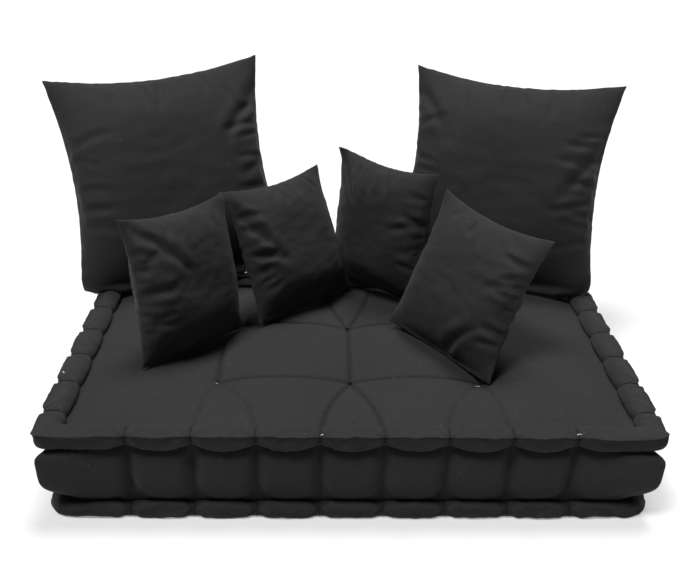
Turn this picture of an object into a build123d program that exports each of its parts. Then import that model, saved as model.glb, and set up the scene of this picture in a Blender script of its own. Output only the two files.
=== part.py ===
from build123d import *
import math
import os

import numpy as np

os.makedirs("parts", exist_ok=True)

# Floor futon set: a tufted mattress with rolled edges, two large back cushions and four
# small cushions, all of them loose. Millimetres, +Z up, the front towards -Y.
# The origin is the middle of the mattress underside.

# Mattress
mattress_length = 1200.0
mattress_depth = 800.0
mattress_height = 196.0
mattress_cloth = 3.0

# Rolled edges at the top and the bottom, pinched by twine at each tie
roll_width = 52.0
roll_height = 42.0
roll_proud = 30.0
roll_pinch = 6.0
bottom_tuck = 10.0
bottom_corner_cut = 46.0
floor_flat = 0.5
long_tie_count = 8
short_tie_count = 6
long_corner_block = 175.0
short_corner_block = 96.0
roll_rim_share = 0.30

# Puffs between the tufts, and blocks between the ties
tuft_pitch_x = 276.0
tuft_pitch_y = 266.0
tuft_columns = 3
tuft_rows = 2
puff_rise = 26.0
under_puff_rise = 12.0
block_rise = 16.0
crease_width = 4.0
pit_radius = 20.0
pit_floor_radius = 7.0
pit_depth = 11.0
under_pit_radius = 38.0
pit_sides = 6
seam_below_pit = 1.0

# Twine through the tufts and round the rolled edges. A turn of twine lies over so many
# sides of the roll's section, from the corner that its start counts to
twine_radius = 1.5
knot_radius = 5.0
knot_height = 4.0
knot_waist_share = 0.6
tie_width = 2.4
tie_thickness = 1.2
top_tie_start_count = 0
top_tie_side_count = 3
bottom_tie_start_count = 7
bottom_tie_side_count = 2

# Cushions, flat from ear to ear, and their thickness
large_side = 535.0
large_thickness = 176.0
small_side = 320.0
small_thickness = 112.0
cushion_cloth = 2.0
ear_cut = 6.0
side_draw_share = 0.15

# Clearances: between sewn pieces and what they hold, and between things that only touch
sewing_gap = 0.3
seat_gap = 0.4

# Overrun for cuts and for pieces that are fused into each other
overrun = 2.0

# Least sizes that count as more than nothing when faces and gaps are measured, and how
# many edges are measured at a time
flat_share = 1e-6
least_area = 1e-9
least_cross = 1e-12
level_share = 0.5
edge_batch = 400

# Puffs, blocks and the underside, level by level: inward step, corner cut and height
puff_level_shares = ((0.0, 0.17, 0.0), (0.10, 0.23, 0.52), (0.26, 0.27, 0.86), (0.46, 0.27, 1.0))
plain_level_shares = (puff_level_shares[0], puff_level_shares[2], puff_level_shares[3])
under_level_shares = ((0.0, 0.12, 0.0), (0.10, 0.14, 1.0))

# Cushion crown, level by level: width left, roundness of the outline and height
crown_level_shares = (
    (1.0, 0.0, 0.0), (0.955, 0.42, 0.30), (0.84, 0.72, 0.60),
    (0.67, 0.88, 0.82), (0.46, 0.96, 0.95), (0.22, 1.0, 1.0),
)
plain_crown_shares = crown_level_shares[:4] + crown_level_shares[5:]
outline_side_shares = (-1.0, -0.4, 0.4, 1.0)
round_outline_share = 0.90
round_outline_power = 3.0

# Cushions in the order they are set down: name, size, middle of the bottom edge as shares
# of the mattress half length and half depth, yaw, sideways tilt and lean back in degrees,
# and the heading in plan along which each is pushed up to what stands behind it
cushion_places = (
    ("left_back_cushion", "large", (-0.63, 0.80), (16.0, -4.5, 24.0), 90.0),
    ("right_back_cushion", "large", (0.58, 0.80), (-20.0, 1.0, 22.0), 90.0),
    ("inner_right_cushion", "small", (0.12, 0.73), (-48.0, 0.0, 5.0), 90.0),
    ("inner_left_cushion", "small", (-0.155, 0.58), (47.0, 0.0, 22.0), 90.0),
    ("outer_left_cushion", "small", (-0.553, -0.06), (52.0, 3.0, 12.0), 90.0),
    ("outer_right_cushion", "small", (0.312, -0.07), (-53.0, 5.0, 24.0), 90.0),
)
cushion_sizes = {
    "large": (large_side, large_thickness),
    "small": (small_side, small_thickness),
}


def flat_face(points):
    return Face(Wire.make_polygon([Vector(*p) for p in points], close=True))


def strip_faces(low, high):
    # Faces between two rings of the same count: one where the four corners lie in a
    # plane, otherwise two triangles that meet on the shorter diagonal
    faces = []
    for i in range(len(low)):
        j = (i + 1) % len(low)
        a, b, c, d = (np.asarray(p) for p in (low[i], low[j], high[j], high[i]))
        normal = np.cross(b - a, d - a)
        flat = abs(np.dot(c - a, normal)) < flat_share * np.linalg.norm(normal)
        if flat:
            faces.append(flat_face((a, b, c, d)))
        elif np.linalg.norm(c - a) < np.linalg.norm(d - b):
            faces += [flat_face((a, b, c)), flat_face((a, c, d))]
        else:
            faces += [flat_face((a, b, d)), flat_face((b, c, d))]
    return faces


def line_loft(rings):
    # A ruled loft through rings of straight lines, closed by a flat face at each end. The
    # rings run anticlockwise as seen from the last one, so that the faces look outward
    first, last = np.array(rings[0]), np.array(rings[-1])
    around = np.cross(last, np.roll(last, -1, axis=0)).sum(axis=0)
    if np.dot(around, last.mean(axis=0) - first.mean(axis=0)) < 0:
        rings = [ring[::-1] for ring in rings]
    faces = [flat_face(rings[0][::-1]), flat_face(rings[-1])]
    for low, high in zip(rings, rings[1:]):
        faces += strip_faces(low, high)
    return Solid(Shell(faces))


def ring_loft(sections):
    # The same loft closed on itself, as a rolled edge that runs all the way round
    faces = []
    for low, high in zip(sections, sections[1:] + sections[:1]):
        faces += strip_faces(low, high)
    return Solid(Shell(faces))


def cut_rectangle(half_x, half_y, corner, z):
    return [
        (half_x - corner, -half_y, z), (half_x, corner - half_y, z),
        (half_x, half_y - corner, z), (half_x - corner, half_y, z),
        (corner - half_x, half_y, z), (-half_x, half_y - corner, z),
        (-half_x, corner - half_y, z), (corner - half_x, -half_y, z),
    ]


def puff(size_x, size_y, rise, inset, levels):
    # A stuffed lump on the plane z = 0; an inset one is what fits inside its cloth
    half = min(size_x, size_y) / 2
    rings = []
    for step, corner, height in levels:
        x = size_x / 2 - half * step - inset
        y = size_y / 2 - half * step - inset
        if not rings:
            rings.append(cut_rectangle(x, y, half * corner, -inset - overrun))
        rings.append(cut_rectangle(x, y, half * corner, rise * height - inset))
    return line_loft(rings)


def polygon_ring(radius, z):
    angles = [2 * math.pi * (k + 0.5) / pit_sides for k in range(pit_sides)]
    return [(radius * math.cos(a), radius * math.sin(a), z) for a in angles]


# Mattress heights and half sizes that follow from the sizes above
top_valley = mattress_height - puff_rise
under_valley = under_puff_rise
seam_drop = pit_depth + mattress_cloth + seam_below_pit
top_half_x = mattress_length / 2 - roll_proud
top_half_y = mattress_depth / 2 - roll_proud
under_half_x = top_half_x - bottom_tuck
under_half_y = top_half_y - bottom_tuck
top_field_x = mattress_length / 2 - roll_width - crease_width
top_field_y = mattress_depth / 2 - roll_width - crease_width
under_field_x = top_field_x - bottom_tuck
under_field_y = top_field_y - bottom_tuck
tuft_xs = [tuft_pitch_x * (k - (tuft_columns - 1) / 2) for k in range(tuft_columns)]
tuft_ys = [tuft_pitch_y * (k - (tuft_rows - 1) / 2) for k in range(tuft_rows)]


def tie_places(length, corner_block, count):
    first = corner_block - length / 2
    pitch = (length - 2 * corner_block) / (count - 1)
    return [first + pitch * k for k in range(count)]


long_ties = tie_places(mattress_length, long_corner_block, long_tie_count)
short_ties = tie_places(mattress_depth, short_corner_block, short_tie_count)


def trunk(inset):
    # The mattress without its puffs and blocks: its walls draw in towards the floor
    slope = bottom_tuck / (top_valley - under_valley)
    low_step = inset - slope * inset
    high_step = inset + slope * inset
    return line_loft([
        cut_rectangle(
            under_half_x - low_step, under_half_y - low_step,
            bottom_corner_cut, under_valley + inset,
        ),
        cut_rectangle(
            top_half_x - high_step, top_half_y - high_step,
            crease_width, top_valley - inset,
        ),
    ])


def cells(edges):
    return [(a, b) for a, b in zip(edges, edges[1:])]


def puff_field(field_x, field_y, rise, inset, levels):
    # One puff in each cell between the tufts and the rolled edge
    lumps = []
    for left, right in cells([-field_x] + tuft_xs + [field_x]):
        for front, back in cells([-field_y] + tuft_ys + [field_y]):
            size = (right - left - crease_width, back - front - crease_width)
            lump = puff(*size, rise, inset, levels)
            lumps.append(lump.moved(Location(((left + right) / 2, (front + back) / 2, 0))))
    return lumps


def tuft_pit(inset, mouth_radius, mouth_height):
    # The hollow that a tuft pulls into the cloth, pointing down from the plane z = 0. It
    # opens to its mouth at the height of the lumps round it
    rings = [
        polygon_ring(pit_floor_radius + inset, -pit_depth - inset),
        polygon_ring(pit_radius + inset, -inset),
    ]
    if mouth_height:
        rings.append(polygon_ring(mouth_radius + inset, mouth_height - inset))
    rings.append(polygon_ring(mouth_radius + inset, mouth_height + overrun))
    return line_loft(rings)


top_plane = Location((0, 0, top_valley))
under_plane = Location((0, 0, under_valley), (180, 0, 0))


def stuffed_form(inset):
    # The outside of the mattress between its rolled edges, or what lies inset from it
    levels = plain_level_shares if inset else puff_level_shares
    upper = puff_field(top_field_x, top_field_y, puff_rise, inset, levels)
    lumps = [lump.moved(top_plane) for lump in upper]
    under = puff(
        2 * under_field_x, 2 * under_field_y, under_puff_rise, inset, under_level_shares)
    lumps.append(under.moved(under_plane))
    pits = []
    for x in tuft_xs:
        for y in tuft_ys:
            pit = tuft_pit(inset, pit_radius, 0).moved(Location((x, y, 0)))
            pits.append(pit.moved(top_plane))
            mirrored = tuft_pit(inset, under_pit_radius, under_puff_rise)
            pits.append(mirrored.moved(Location((x, -y, 0))).moved(under_plane))
    return trunk(inset).fuse(*lumps).cut(*pits)


def wall_blocks():
    # One stuffed block on the wall between each two ties, and one beyond the last tie
    low = roll_height
    high = mattress_height - roll_height
    slope = math.atan2(bottom_tuck, top_valley - under_valley)
    middle = (low + high) / 2
    inward = bottom_tuck * (top_valley - middle) / (top_valley - under_valley)
    height = (high - low) / math.cos(slope) - crease_width
    lumps = []
    for half_run, half_across, ties, turns in (
            (top_half_x, top_half_y, long_ties, (0, 180)),
            (top_half_y, top_half_x, short_ties, (90, 270))):
        end = half_run - inward - bottom_corner_cut
        for start, stop in cells([-end] + ties + [end]):
            lump = puff(stop - start - crease_width, height, block_rise, 0, plain_level_shares)
            tilted = lump.moved(Location((0, 0, 0), (90 + math.degrees(slope), 0, 0)))
            placed = tilted.moved(Location(((start + stop) / 2, inward - half_across, middle)))
            lumps += [placed.moved(Location((0, 0, 0), (0, 0, turn))) for turn in turns]
    return lumps


def corner_blocks():
    # The filling of each corner, on the flat that widens from the top to the floor
    low = np.array([under_half_x, under_half_y, under_valley])
    high = np.array([top_half_x, top_half_y, top_valley])
    corners = []
    for z in (roll_height, mattress_height - roll_height):
        share = (z - under_valley) / (top_valley - under_valley)
        x, y, z = low + (high - low) * share
        cut = bottom_corner_cut + (crease_width - bottom_corner_cut) * share
        corners += [np.array([x, y - cut, z]), np.array([x - cut, y, z])]
    corners = [corners[0], corners[1], corners[3], corners[2]]
    middle = sum(corners) / len(corners)
    normal = np.cross(corners[1] - corners[0], corners[3] - corners[0])
    normal /= np.linalg.norm(normal)
    rings = []
    for step, _, height in plain_level_shares:
        if not rings:
            rings.append([p - normal * overrun for p in corners])
        lift = normal * block_rise * height
        rings.append([p + (middle - p) * step + lift for p in corners])
    lumps = []
    for flip_x, flip_y in ((1, 1), (-1, 1), (-1, -1), (1, -1)):
        turned = [[(p[0] * flip_x, p[1] * flip_y, p[2]) for p in ring] for ring in rings]
        if flip_x * flip_y < 0:
            turned = [ring[::-1] for ring in turned]
        lumps.append(line_loft(turned))
    return lumps


def roll_section(pinch):
    # The rolled edge cut across: outward and upward from its middle
    half_w = roll_width / 2 - pinch
    half_h = roll_height / 2 - pinch
    rim = roll_height * roll_rim_share
    return [
        (half_w, rim - half_h), (half_w, half_h - rim),
        (half_w - rim, half_h), (rim - half_w, half_h),
        (-half_w, half_h - rim), (-half_w, rim - half_h),
        (rim - half_w, -half_h), (half_w - rim, -half_h),
    ]


def rolled_edge(half_x, half_y, z, corner_cut):
    # Full between the ties and pinched at each. A square corner has one mitre; a cut
    # corner is pinched too, and has a mitre at each end of the cut
    mid_x = half_x - roll_width / 2
    mid_y = half_y - roll_width / 2
    sides = (
        ((1, 0), (0, -1), mid_x, mid_y, long_ties),
        ((0, 1), (1, 0), mid_y, mid_x, short_ties),
        ((-1, 0), (0, 1), mid_x, mid_y, long_ties),
        ((0, -1), (-1, 0), mid_y, mid_x, short_ties),
    )
    mitre = math.tan(math.pi / 8) if corner_cut else 1.0
    end_pinch = roll_pinch if corner_cut else 0
    sections = []
    for along, out, run, across, ties in sides:
        end = run - corner_cut
        stops = [-end] + ties + [end]
        stations = [(-end, end_pinch, -mitre)]
        for start, stop in cells(stops):
            if stop - start > roll_width:
                stations.append(((start + stop) / 2, 0, 0))
            stations.append((stop, roll_pinch, 0))
        stations.pop()
        if corner_cut:
            stations.append((end, end_pinch, mitre))
        for place, pinch, skew in stations:
            section = []
            for o, up in roll_section(pinch):
                run_to = place + skew * o
                section.append((
                    along[0] * run_to + out[0] * (across + o),
                    along[1] * run_to + out[1] * (across + o),
                    z + up,
                ))
            sections.append(section)
    return ring_loft(sections)


def edge_ties(half_x, half_y, z, start_count, side_count):
    # A turn of twine over the free side of the rolled edge at each tie
    inner = roll_section(roll_pinch - sewing_gap)
    outer = roll_section(roll_pinch - sewing_gap - tie_thickness)
    path = [(start_count + k) % len(inner) for k in range(side_count + 1)]
    band = [inner[k] for k in path] + [outer[k] for k in reversed(path)]
    ties = []
    for run, across, places, turns in (
            (half_x, half_y, long_ties, (0, 180)),
            (half_y, half_x, short_ties, (90, 270))):
        middle = across - roll_width / 2
        for place in places:
            near = [(place - tie_width / 2, -middle - o, z + up) for o, up in band]
            far = [(place + tie_width / 2, -middle - o, z + up) for o, up in band]
            tie = line_loft([near, far])
            ties += [tie.moved(Location((0, 0, 0), (0, 0, turn))) for turn in turns]
    return ties


def tuft_twine(x, y):
    # Twine pulled right through the mattress, knotted in the pit at each end
    low = under_valley + pit_depth - knot_height - sewing_gap
    high = top_valley - pit_depth + knot_height + sewing_gap
    profile = (
        (knot_radius * knot_waist_share, low),
        (knot_radius, low + knot_height / 2),
        (twine_radius, low + knot_height),
        (twine_radius, high - knot_height),
        (knot_radius, high - knot_height / 2),
        (knot_radius * knot_waist_share, high),
    )
    return line_loft([polygon_ring(r, z) for r, z in profile]).moved(Location((x, y, 0)))


def twine_bores():
    bore = Cylinder(twine_radius + sewing_gap, mattress_height * 2)
    return [Location((x, y, 0)) * bore for x in tuft_xs for y in tuft_ys]


def ear_outline(half, draw):
    # The seam: four sides that draw in between pointed ears
    points = []
    for quarter in range(4):
        turn = quarter * math.pi / 2
        for share in outline_side_shares:
            x = (half - ear_cut) * share
            y = draw * (1 - share * share) - half
            points.append((
                x * math.cos(turn) - y * math.sin(turn),
                x * math.sin(turn) + y * math.cos(turn),
            ))
    return points


def cushion_rings(side, thickness, inset, face, levels):
    # Rings from the seam up to the crown of one face, inset from the outside of the cloth
    draw = side / 2 * side_draw_share
    ear_angle = math.pi / 4 - math.atan(4 * draw / side)
    ear_inset = inset / math.sin(ear_angle)
    half = side / 2 - ear_inset
    outline = ear_outline(half, draw + inset - ear_inset)
    crown = thickness / 2 - inset
    reach = (side / 2 - draw) * round_outline_share - inset
    rings = []
    for width, roundness, height in levels:
        ring = []
        for x, y in outline:
            size = (abs(x) ** round_outline_power + abs(y) ** round_outline_power)
            round_by = reach / size ** (1 / round_outline_power)
            blend = 1 - roundness + roundness * round_by
            ring.append((x * width * blend, -face * crown * height, y * width * blend + side / 2))
        rings.append(ring)
    return rings


def pose_matrix(yaw, tilt, lean):
    z, y, x = math.radians(yaw), math.radians(tilt), math.radians(-lean)
    turn_x = np.array([
        [1, 0, 0], [0, math.cos(x), -math.sin(x)], [0, math.sin(x), math.cos(x)]])
    turn_y = np.array([
        [math.cos(y), 0, math.sin(y)], [0, 1, 0], [-math.sin(y), 0, math.cos(y)]])
    turn_z = np.array([
        [math.cos(z), -math.sin(z), 0], [math.sin(z), math.cos(z), 0], [0, 0, 1]])
    return turn_z @ turn_y @ turn_x


def ring_mesh(rings):
    # Corners and triangles of a line loft, for measuring gaps
    count = len(rings[0])
    corners = np.array([p for ring in rings for p in ring])
    triangles = []
    for level in range(len(rings) - 1):
        for i in range(count):
            j = (i + 1) % count
            a, b = level * count + i, level * count + j
            triangles += [(a, b, b + count), (a, b + count, a + count)]
    for base in (0, (len(rings) - 1) * count):
        triangles += [(base, base + i, base + i + 1) for i in range(1, count - 1)]
    return corners, np.array(triangles)


def solid_mesh(solid):
    points, triangles = solid.tessellate(mattress_height)
    return np.array([tuple(p) for p in points]), np.array(triangles)


def free_travel(moving, fixed, heading):
    # How far one mesh can go along a heading before it touches the other
    ahead = np.asarray(heading) / np.linalg.norm(heading)
    side = np.cross(ahead, (0.0, 0.0, 1.0) if abs(ahead[2]) < level_share else (1.0, 0.0, 0.0))
    side /= np.linalg.norm(side)
    frame = np.stack([side, np.cross(ahead, side), ahead])
    found = [math.inf]

    def corner_hits(points, corners, triangles, sign):
        a, b, c = (corners[triangles[:, k]] for k in range(3))
        ab, ac = (b - a)[:, :2], (c - a)[:, :2]
        area = ab[:, 0] * ac[:, 1] - ab[:, 1] * ac[:, 0]
        keep = np.abs(area) > least_area
        a, b, c, ab, ac, area = (v[keep] for v in (a, b, c, ab, ac, area))
        to = points[:, None, :2] - a[None, :, :2]
        u = (to[..., 0] * ac[:, 1] - to[..., 1] * ac[:, 0]) / area
        v = (ab[:, 0] * to[..., 1] - ab[:, 1] * to[..., 0]) / area
        inside = (u >= 0) & (v >= 0) & (u + v <= 1)
        level = a[:, 2] + u * (b - a)[:, 2] + v * (c - a)[:, 2]
        gap = sign * (level - points[:, None, 2])
        hits = gap[inside & (gap > -seat_gap)]
        if hits.size:
            found.append(float(hits.min()))

    def edges_of(corners, triangles):
        pairs = np.concatenate([triangles[:, [0, 1]], triangles[:, [1, 2]], triangles[:, [2, 0]]])
        pairs = np.unique(np.sort(pairs, axis=1), axis=0)
        return corners[pairs[:, 0]], corners[pairs[:, 1]]

    mine = (moving[0] @ frame.T, moving[1])
    other = (fixed[0] @ frame.T, fixed[1])
    low, high = mine[0].min(axis=0), mine[0].max(axis=0)
    boxes = other[0][other[1]]
    near = np.all(boxes.max(axis=1)[:, :2] >= low[:2], axis=1)
    near &= np.all(boxes.min(axis=1)[:, :2] <= high[:2], axis=1)
    other = (other[0], other[1][near])
    if not len(other[1]):
        return math.inf
    corner_hits(mine[0], other[0], other[1], 1)
    corner_hits(other[0][np.unique(other[1])], mine[0], mine[1], -1)
    p0, p1 = edges_of(*mine)
    q0, q1 = edges_of(*other)
    for start in range(0, len(q0), edge_batch):
        r0, r1 = q0[start:start + edge_batch], q1[start:start + edge_batch]
        p, r = (p1 - p0)[:, None], (r1 - r0)[None]
        gap = r0[None] - p0[:, None]
        cross = p[..., 0] * r[..., 1] - p[..., 1] * r[..., 0]
        cross = np.where(np.abs(cross) < least_cross, np.nan, cross)
        s = (gap[..., 0] * r[..., 1] - gap[..., 1] * r[..., 0]) / cross
        t = (gap[..., 0] * p[..., 1] - gap[..., 1] * p[..., 0]) / cross
        meet = (s >= 0) & (s <= 1) & (t >= 0) & (t <= 1)
        away = gap[..., 2] + t * r[..., 2] - s * p[..., 2]
        hits = away[meet & (away > -seat_gap)]
        if hits.size:
            found.append(float(hits.min()))
    return min(found)


def set_down(mesh, supports, heading, approach):
    # Push the cushion up to its place from in front, at a height that clears the puffs,
    # lower it, then push and lower it once more; it stops short of whatever it meets
    corners, triangles = mesh
    ahead = np.array([math.cos(math.radians(heading)), math.sin(math.radians(heading)), 0.0])
    down = np.array([0.0, 0.0, -1.0])
    lift = mattress_height + puff_rise
    corners = corners - ahead * approach + (0.0, 0.0, lift)
    bed, others = supports
    left = approach
    for hop in (0.0, puff_rise):
        corners = corners + (0.0, 0.0, hop)
        room = min([free_travel((corners, triangles), m, ahead) for m in others] + [math.inf])
        step = max(0.0, min(left, room - seat_gap))
        corners = corners + ahead * step
        left -= step
        fall = min(free_travel((corners, triangles), m, down) for m in bed + others)
        corners = corners + down * (fall - seat_gap)
    return corners


def place_cushions(bed):
    # Set the cushions down one after another and build each in its place
    others = []
    for name, size, (x_share, y_share), (yaw, tilt, lean), heading in cushion_places:
        side, thickness = cushion_sizes[size]
        turn = pose_matrix(yaw, tilt, lean)
        target = np.array([mattress_length / 2 * x_share, mattress_depth / 2 * y_share, 0.0])
        front = cushion_rings(side, thickness, 0, 1, crown_level_shares)
        back = cushion_rings(side, thickness, 0, -1, crown_level_shares)
        outside = ring_mesh(back[:0:-1] + front)
        start = outside[0] @ turn.T + target
        seated = set_down((start, outside[1]), (bed, others), heading, small_side)
        shift = (seated - start)[0] + target
        others.append((seated, outside[1]))
        print(name, "moved", np.round(shift, 1))
        build_cushion(name, side, thickness, turn, shift)


def build_cushion(name, side, thickness, turn, shift):
    # Two panels sewn together at the seam, and the filled insert inside them
    def placed(rings):
        return [[tuple(np.asarray(p) @ turn.T + shift) for p in ring] for ring in rings]

    for face, label in ((1, "front_panel"), (-1, "back_panel")):
        outer = cushion_rings(side, thickness, 0, face, crown_level_shares)
        inner = cushion_rings(side, thickness, cushion_cloth, face, plain_crown_shares)
        export_step(line_loft(placed(inner[::-1] + outer)), f"parts/{name}_{label}.step")
    inset = cushion_cloth + sewing_gap
    front = cushion_rings(side, thickness, inset, 1, plain_crown_shares)
    back = cushion_rings(side, thickness, inset, -1, plain_crown_shares)
    export_step(line_loft(placed(back[:0:-1] + front)), f"parts/{name}_insert.step")


def slab(low, high):
    size = mattress_length * 2
    box = Box(size, size, high - low, align=(Align.CENTER, Align.CENTER, Align.MIN))
    return Location((0, 0, low)) * box


# The mattress
outside = stuffed_form(0)
inside = stuffed_form(mattress_cloth)
cover = outside.cut(inside)
bores = twine_bores()
top_seam = top_valley - seam_drop
under_seam = under_valley + seam_drop
above = slab(top_seam, mattress_height + overrun)
below = slab(-overrun, under_seam)
between = slab(under_seam, top_seam)
top_panel = cover.cut(between, below, *bores)
bottom_panel = cover.cut(between, above, *bores)
border = cover.cut(above, below).fuse(*wall_blocks(), *corner_blocks()).cut(inside)
filling = stuffed_form(mattress_cloth + sewing_gap).cut(*bores)

grown = trunk(-sewing_gap)
top_roll_z = mattress_height - roll_height / 2
under_roll_z = roll_height / 2 - floor_flat
top_reach = (mattress_length / 2, mattress_depth / 2)
under_reach = (mattress_length / 2 - bottom_tuck, mattress_depth / 2 - bottom_tuck)
top_roll = rolled_edge(*top_reach, top_roll_z, 0).cut(grown)
floor = slab(-roll_height, 0)
bottom_roll = rolled_edge(*under_reach, under_roll_z, bottom_corner_cut).cut(grown, floor)
top_ties = edge_ties(*top_reach, top_roll_z, top_tie_start_count, top_tie_side_count)
bottom_ties = edge_ties(
    *under_reach, under_roll_z, bottom_tie_start_count, bottom_tie_side_count)

twines = [tuft_twine(x, y) for x in tuft_xs for y in tuft_ys]

export_step(top_panel, "parts/mattress_top_panel.step")
export_step(bottom_panel, "parts/mattress_bottom_panel.step")
export_step(border, "parts/mattress_border.step")
export_step(filling, "parts/mattress_filling.step")
export_step(top_roll, "parts/mattress_top_roll.step")
export_step(bottom_roll, "parts/mattress_bottom_roll.step")
export_step(Compound(twines), "parts/tuft_twines.step")
export_step(Compound(top_ties), "parts/top_edge_ties.step")
export_step(Compound(bottom_ties), "parts/bottom_edge_ties.step")

# The cushions
place_cushions([solid_mesh(top_panel), solid_mesh(top_roll)])
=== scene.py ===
import random
from math import atan2, copysign, cos, exp, hypot, pi, radians, sin, sqrt

import bpy
import numpy as np
from mathutils import Matrix, Vector, noise
from mathutils.bvhtree import BVHTree


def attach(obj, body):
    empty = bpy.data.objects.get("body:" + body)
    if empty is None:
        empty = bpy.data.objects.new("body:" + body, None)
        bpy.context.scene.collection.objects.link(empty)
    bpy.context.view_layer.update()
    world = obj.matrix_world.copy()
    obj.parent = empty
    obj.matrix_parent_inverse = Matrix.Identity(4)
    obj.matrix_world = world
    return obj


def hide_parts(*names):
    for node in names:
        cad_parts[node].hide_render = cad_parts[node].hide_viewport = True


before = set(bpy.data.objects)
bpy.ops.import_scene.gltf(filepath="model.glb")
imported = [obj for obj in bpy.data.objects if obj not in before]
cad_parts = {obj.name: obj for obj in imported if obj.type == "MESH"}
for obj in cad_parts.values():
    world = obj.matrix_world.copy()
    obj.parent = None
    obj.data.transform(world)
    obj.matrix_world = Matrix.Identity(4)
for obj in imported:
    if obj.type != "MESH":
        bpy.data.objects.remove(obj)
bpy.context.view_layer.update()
scene = bpy.context.scene

# Camera: the photograph's own view, in a frame of 700 by 580 pixels
camera = {
    "place": (-0.058, -2.10, 1.216), "pitch": 23.15, "yaw": 1.6, "roll": 1.05,
    "focal": 1060.0, "width": 700.0, "middle": 290.0, "axis": 289.0, "sensor": 36.0,
    "nearest": 0.05,
}


def addObject(name, data):
    made = bpy.data.objects.new(name, data)
    scene.collection.objects.link(made)
    return made


def makeCamera():
    pitch, yaw, roll = (radians(camera[k]) for k in ("pitch", "yaw", "roll"))
    ahead = Vector((sin(yaw) * cos(pitch), cos(yaw) * cos(pitch), -sin(pitch)))
    level = Vector((cos(yaw), -sin(yaw), 0))
    top = level.cross(ahead)
    right = cos(roll) * level + sin(roll) * top
    up = -sin(roll) * level + cos(roll) * top
    data = bpy.data.cameras.new("camera")
    data.sensor_fit = "HORIZONTAL"
    data.sensor_width = camera["sensor"]
    data.lens = camera["focal"] * camera["sensor"] / camera["width"]
    data.shift_y = (camera["axis"] - camera["middle"]) / camera["width"]
    data.clip_start = camera["nearest"]
    scene.camera = addObject("camera", data)
    turn = Matrix((right, up, -ahead)).transposed().to_4x4()
    scene.camera.matrix_world = Matrix.Translation(camera["place"]) @ turn


def finishMesh(mesh, uvs):
    # uvs holds one pair in metres of cloth for each face corner
    layer = mesh.uv_layers.new(name="cloth")
    layer.data.foreach_set("uv", np.asarray(uvs, dtype=np.float32).ravel())
    mesh.polygons.foreach_set("use_smooth", [True] * len(mesh.polygons))


def meshObject(name, points, faces, uvs=None):
    mesh = bpy.data.meshes.new(name)
    mesh.from_pydata([tuple(p) for p in points], [], [tuple(f) for f in faces])
    if uvs is not None:
        finishMesh(mesh, uvs)
    mesh.update()
    return addObject(name, mesh)


def readAll(items, label, width=3):
    # One row of numbers for each vertex or other item of a mesh
    found = np.empty(len(items) * width, dtype=np.float32)
    items.foreach_get(label, found)
    return found.reshape(-1, width).astype(np.float64)


def coords(piece):
    return readAll(piece.data.vertices, "co")


def paintRubAndShade(piece, values):
    # How rubbed paler each point is, above nought, or how much painted shade it gets in a crease,
    # groove or tie, below it
    layer = piece.data.attributes.new("edge", "FLOAT", "POINT")
    layer.data.foreach_set("value", np.asarray(values, dtype=np.float32))


def setCoords(piece, points):
    piece.data.vertices.foreach_set("co", np.asarray(points, dtype=np.float32).ravel())
    piece.data.update()


def keepEvaluated(piece):
    # Replaces the mesh by what its modifiers make of it
    bpy.context.view_layer.update()
    graph = bpy.context.evaluated_depsgraph_get()
    made = bpy.data.meshes.new_from_object(
        piece.evaluated_get(graph), preserve_all_data_layers=True, depsgraph=graph)
    old = piece.data
    piece.modifiers.clear()
    piece.data = made
    made.name = piece.name
    bpy.data.meshes.remove(old)


def subdivide(piece):
    step = piece.modifiers.new("smooth", "SUBSURF")
    step.levels = step.render_levels = 1
    step.boundary_smooth = "PRESERVE_CORNERS"
    keepEvaluated(piece)


def simulate(piece, pinned, settings, seed=None):
    # Blows the cloth up between its pinned points and keeps the shape it comes to. With a
    # seed, its free points are first shaken a little
    if seed is not None:
        jitter = np.random.default_rng(seed).normal(0, settings["shake"], coords(piece).shape)
        jitter[pinned] = 0
        setCoords(piece, coords(piece) + jitter)
    before = coords(piece)
    group = piece.vertex_groups.new(name="pinned")
    if pinned:
        group.add(pinned, 1, "REPLACE")
    cloth = piece.modifiers.new("cloth", "CLOTH")
    s = cloth.settings
    s.quality = 5
    s.mass = 0.2
    for label in ("tension", "compression", "shear", "bending"):
        setattr(s, label + "_stiffness", settings[label])
    s.air_damping = 1.0
    s.use_pressure = True
    s.uniform_pressure_force = settings["pressure"]
    if "volume" in settings:
        s.use_pressure_volume = True
        s.target_volume = settings["volume"]
        s.pressure_factor = settings["factor"]
    s.shrink_min = -settings["spare"]
    s.effector_weights.gravity = 0
    s.vertex_group_mass = "pinned"
    cloth.collision_settings.use_collision = False
    cloth.collision_settings.use_self_collision = False
    cloth.point_cache.frame_start = 1
    cloth.point_cache.frame_end = settings["frames"]
    for number in range(1, settings["frames"] + 1):
        scene.frame_set(number)
    graph = bpy.context.evaluated_depsgraph_get()
    after = readAll(piece.evaluated_get(graph).to_mesh().vertices, "co")
    piece.evaluated_get(graph).to_mesh_clear()
    piece.modifiers.clear()
    piece.vertex_groups.clear()
    scene.frame_set(1)
    moved = after - before
    length = np.maximum(np.linalg.norm(moved, axis=1, keepdims=True), 1e-9)
    setCoords(piece, before + moved * np.minimum(1, settings["furthest"] / length))


print("camera")
makeCamera()


def edgeRing(across, deep):
    # Steps round the edge of a grid of cells, anticlockwise from its first corner
    return (
        [(i, 0) for i in range(across)] + [(across, j) for j in range(deep)]
        + [(i, deep) for i in range(across, 0, -1)] + [(0, j) for j in range(deep, 0, -1)])


def smoothStep(low, high, value):
    t = np.clip((value - low) / (high - low), 0, 1)
    return t * t * (3 - 2 * t)


def softNoise(points, size, seed):
    # Perlin noise for each point, with features of the given size
    shift = Vector((seed * 3.7, seed * 1.9, seed * 5.3))
    return np.array([noise.noise(Vector(p) / size + shift) for p in points])


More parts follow.
